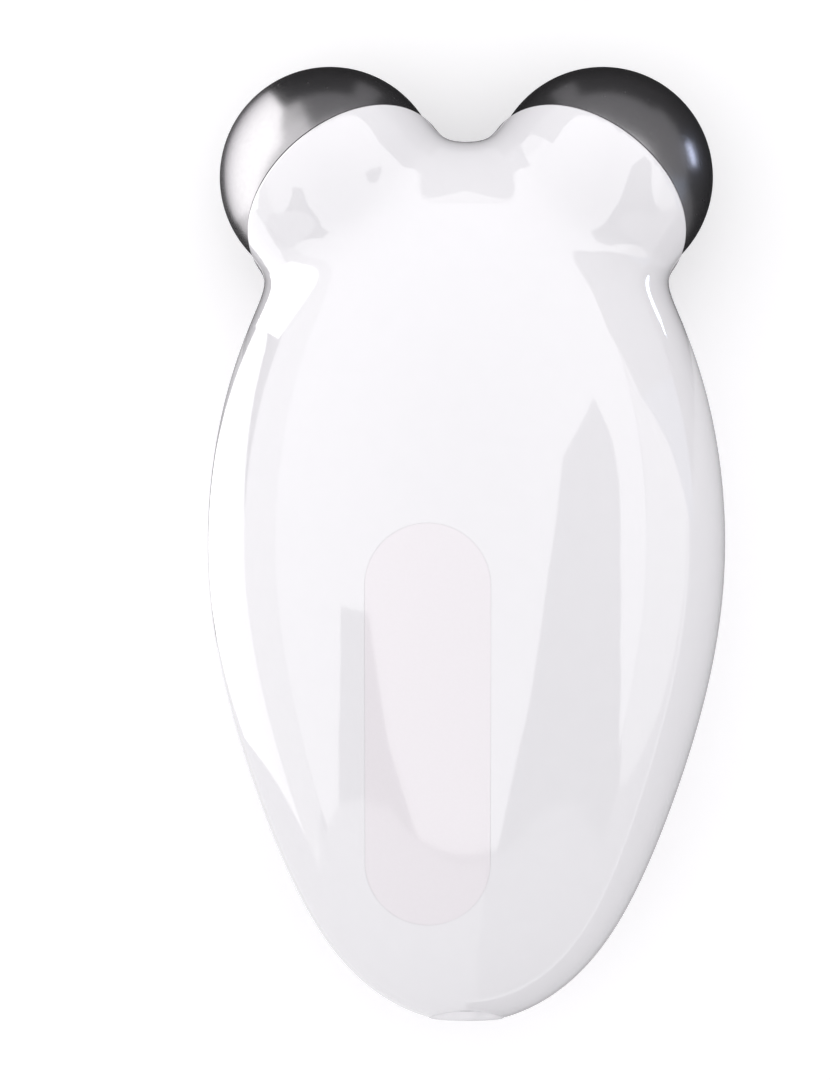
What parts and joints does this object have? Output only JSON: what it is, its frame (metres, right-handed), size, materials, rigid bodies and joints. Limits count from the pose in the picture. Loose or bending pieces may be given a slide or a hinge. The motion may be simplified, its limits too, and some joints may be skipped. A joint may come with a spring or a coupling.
{
  "type": "facial toning device",
  "caption": "Egg-shaped hand-held facial toning device with a pair of fixed metal balls in flared collars, a power button on its front and a charging port in its tail.",
  "frame": {"origin": "centre of the overall box at its lowest level, on the surface that the device lies on", "axes": "+Y along the handle towards the balls, +Z out of the back that carries the label, +X to the right as the back is looked at with the balls at the top"},
  "size_m": [0.062, 0.1143, 0.036],
  "materials": {
    "casing": "glossy white moulded plastic",
    "ball": "dark satin chrome plating",
    "label": "fine-grained film with a faint pink cast",
    "bezel": "glossy white plastic",
    "button_ring": "satin anodised",
    "button": "satin white plastic",
    "seal": "black silicone rubber",
    "seat": "natural moulded plastic",
    "steel": "zinc-plated steel",
    "tag": "tinned brass",
    "lead_red": "red wire insulation",
    "lead_dark": "black wire insulation",
    "board": "green solder mask",
    "black_part": "black moulded plastic",
    "ferrite": "sintered ferrite",
    "copper": "enamelled copper wire",
    "ceramic": "ceramic capacitor body",
    "connector": "ivory nylon",
    "led": "small lamp bodies",
    "clear": "clear moulded light pipe",
    "plunger": "pale moulded plastic",
    "cell": "sleeved metal can",
    "cradle": "white moulded plastic",
    "foam": "closed-cell foam"
  },
  "bodies": {
    "handle": {"rear_shell": "casing", "front_shell": "casing", "left_ball": "ball", "right_ball": "ball", "left_seal": "seal", "right_seal": "seal", "left_seat": "seat", "right_seat": "seat", "ball_screws": "steel", "solder_tags": "tag", "left_ball_lead": "lead_red", "right_ball_lead": "lead_red", "rear_label": "label", "case_screws": "steel", "main_board": "board", "board_screws": "steel", "control_chip": "black_part", "boost_coil": "ferrite", "coil_winding": "copper", "capacitors": "ceramic", "board_connectors": "connector", "buzzer": "black_part", "indicator_leds": "led", "light_pipe": "clear", "tact_switch": "black_part", "battery_cell": "cell", "battery_cradle": "cradle", "battery_pad": "foam", "battery_leads": "lead_dark", "charge_jack": "black_part", "jack_pin": "steel", "charge_leads": "lead_dark", "charge_port_bezel": "bezel", "button_bezel": "button_ring"},
    "button": {"power_button": "button"},
    "plunger": {"switch_plunger": "plunger"}
  },
  "joints": [
    {"name": "button_press", "type": "slide", "parent": "handle", "child": "button", "axis": [0, -0.1402, 0.9901], "range_m": [0, 0.0004], "stiffness_N_per_m": 300, "springref_m": -0.0004},
    {"name": "plunger_press", "type": "slide", "parent": "handle", "child": "plunger", "axis": [0, 0, 1], "range_m": [0, 0.0004]}
  ],
  "couplings": [
    {"joint": "plunger_press", "follows": "button_press", "ratio": 1}
  ]
}
